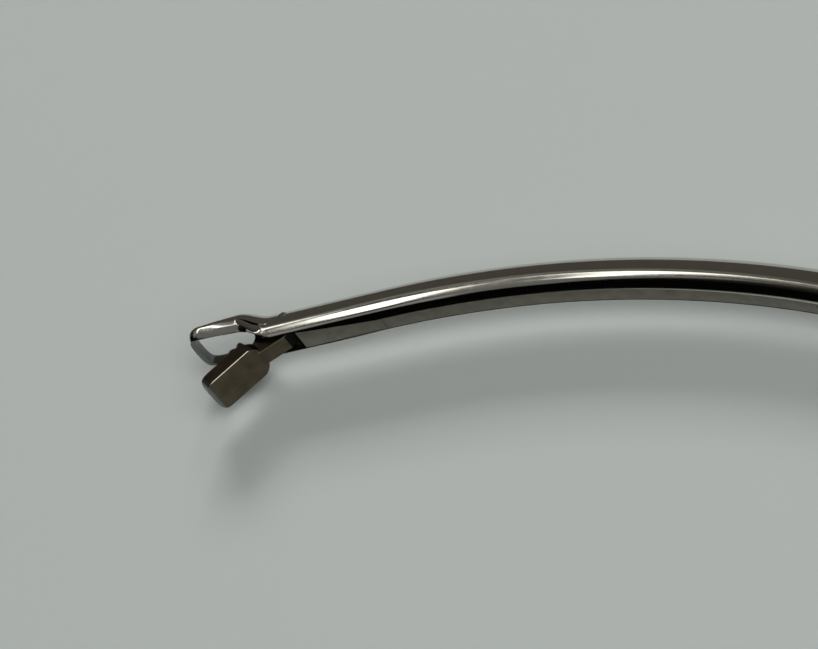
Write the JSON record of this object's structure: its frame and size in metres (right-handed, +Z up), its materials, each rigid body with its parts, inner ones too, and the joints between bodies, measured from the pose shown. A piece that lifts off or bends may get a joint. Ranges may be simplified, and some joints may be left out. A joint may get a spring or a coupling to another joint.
{
  "type": "arthroscopic punch",
  "caption": "Ring-handled steel arthroscopic punch with an up-curved shaft, a ring-shaped fixed jaw and a toothed moving jaw drawn shut by a slider.",
  "frame": {"origin": "on the handle body's lower side face, on the line of the rear shaft, where the instrument rests on the table", "axes": "+X along the rear shaft towards the handles, +Y towards the finger rings, +Z up from the table"},
  "size_m": [0.2154, 0.1046, 0.007],
  "materials": {
    "cover_screw_front": "polished",
    "cover_screw_rear": "polished",
    "drive_pin": "polished",
    "ferrule": "polished",
    "fixed_handle": "satin",
    "jaw_pivot_pin": "polished",
    "moving_jaw": "satin",
    "pin_plug": "polished",
    "pivot_nut": "polished",
    "pivot_screw": "polished",
    "set_screw": "polished",
    "shaft": "polished",
    "slider_bend": "satin",
    "slider_cover": "polished",
    "slider_front": "satin",
    "slider_rear": "satin",
    "slider_yoke": "satin",
    "thumb_handle": "satin",
    "washer_lower": "polished",
    "washer_upper": "polished",
    "yoke_pin": "satin"
  },
  "bodies": {
    "instrument": {"cover_screw_front": "cover_screw_front", "cover_screw_rear": "cover_screw_rear", "ferrule": "ferrule", "fixed_handle": "fixed_handle", "jaw_pivot_pin": "jaw_pivot_pin", "pin_plug": "pin_plug", "pivot_nut": "pivot_nut", "pivot_screw": "pivot_screw", "set_screw": "set_screw", "shaft": "shaft", "slider_cover": "slider_cover", "washer_lower": "washer_lower", "washer_upper": "washer_upper"},
    "thumb": {"thumb_handle": "thumb_handle"},
    "slider_tail": {"slider_rear": "slider_rear", "slider_yoke": "slider_yoke", "yoke_pin": "yoke_pin"},
    "slider_band": {"slider_bend": "slider_bend"},
    "slider_head": {"slider_front": "slider_front", "drive_pin": "drive_pin"},
    "jaw": {"moving_jaw": "moving_jaw"}
  },
  "joints": [
    {"name": "thumb_squeeze", "type": "hinge", "parent": "instrument", "child": "thumb", "pos_m": [0.002, 0.004, 0.0035], "axis": [0, 0, 1], "range_deg": [0, 8.81]},
    {"name": "tail_slide", "type": "slide", "parent": "instrument", "child": "slider_tail", "axis": [1, 0, 0], "range_m": [0, 0.00076827]},
    {"name": "band_turn", "type": "hinge", "parent": "instrument", "child": "slider_band", "pos_m": [-0.085, -0.093, 0.0035], "axis": [0, 0, -1], "range_deg": [0, 0.47332]},
    {"name": "head_slide", "type": "slide", "parent": "instrument", "child": "slider_head", "axis": [0.9063, 0.4226, 0], "range_m": [0, 0.00076827]},
    {"name": "jaw_close", "type": "hinge", "parent": "instrument", "child": "jaw", "pos_m": [-0.13247, -0.01285, 0.0035], "axis": [0, 0, -1], "range_deg": [0, 38.5]}
  ],
  "couplings": [
    {"joint": "tail_slide", "follows": "thumb_squeeze", "m_per_rad": 0.0049951},
    {"joint": "band_turn", "follows": "thumb_squeeze", "ratio": 0.05371},
    {"joint": "head_slide", "follows": "thumb_squeeze", "m_per_rad": 0.0049951},
    {"joint": "jaw_close", "follows": "thumb_squeeze", "ratio": 4.3688}
  ]
}
